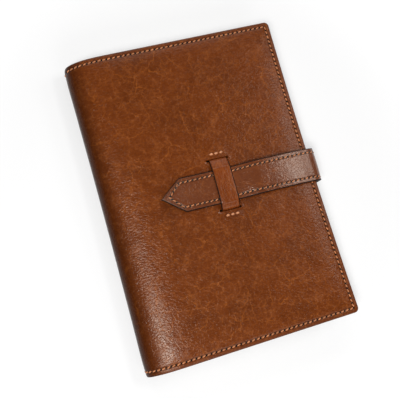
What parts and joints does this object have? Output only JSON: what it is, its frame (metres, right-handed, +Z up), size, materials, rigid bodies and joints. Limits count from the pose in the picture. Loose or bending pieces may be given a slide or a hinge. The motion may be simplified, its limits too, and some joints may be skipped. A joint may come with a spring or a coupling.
{
  "type": "leather planner",
  "caption": "Leather planner cover with raised panels, a pointed tuck strap and a keeper loop, lying closed on its back around a bound refill of pages.",
  "frame": {"origin": "middle of the back cover's underside, on the table", "axes": "+X from the spine to the fore-edge, +Y from the bottom edge to the top edge, +Z up through the front cover"},
  "size_m": [0.1581, 0.22, 0.028],
  "materials": {
    "outer_leather": "oiled brown leather with light creases and a soft sheen",
    "strap_leather": "smooth brown leather",
    "inner_leather": "plain brown leather, flesh side in",
    "thread": "waxed peach-orange thread",
    "board": "grey board",
    "paper": "cream paper",
    "card": "black card",
    "tape": "black book cloth"
  },
  "bodies": {
    "back": {"back_leather": "outer_leather", "back_board": "board", "back_lining": "inner_leather", "back_sleeve": "inner_leather", "back_stitches": "thread", "page_block": "paper", "refill_back_cover": "card", "refill_spine_tape": "tape", "strap_root_face": "strap_leather", "strap_root_lining": "inner_leather", "strap_root_stitches": "thread"},
    "spine": {"spine_leather": "outer_leather", "spine_lining": "inner_leather", "spine_stitches": "thread"},
    "front": {"front_leather": "outer_leather", "front_board": "board", "front_lining": "inner_leather", "front_sleeve": "inner_leather", "front_stitches": "thread", "keeper": "outer_leather", "keeper_stitches": "thread", "refill_front_cover": "card"},
    "strap": {"strap_face": "strap_leather", "strap_lining": "inner_leather", "strap_stitches": "thread"}
  },
  "joints": [
    {"name": "spine_fold", "type": "hinge", "parent": "back", "child": "spine", "pos_m": [-0.07498, 0, 0.00232], "axis": [0, -1, 0], "range_deg": [0, 94]},
    {"name": "front_fold", "type": "hinge", "parent": "spine", "child": "front", "pos_m": [-0.0692, 0, 0.01809], "axis": [0, -1, 0], "range_deg": [0, 83]},
    {"name": "strap_fold", "type": "hinge", "parent": "back", "child": "strap", "pos_m": [0.0798, -0.00287, 0.0183], "axis": [0.0209, 0.9998, 0], "range_deg": [0, 184], "deforming": ["strap_face", "strap_lining", "strap_stitches"]}
  ],
  "couplings": [
    {"joint": "front_fold", "follows": "spine_fold", "ratio": 0.8829}
  ]
}
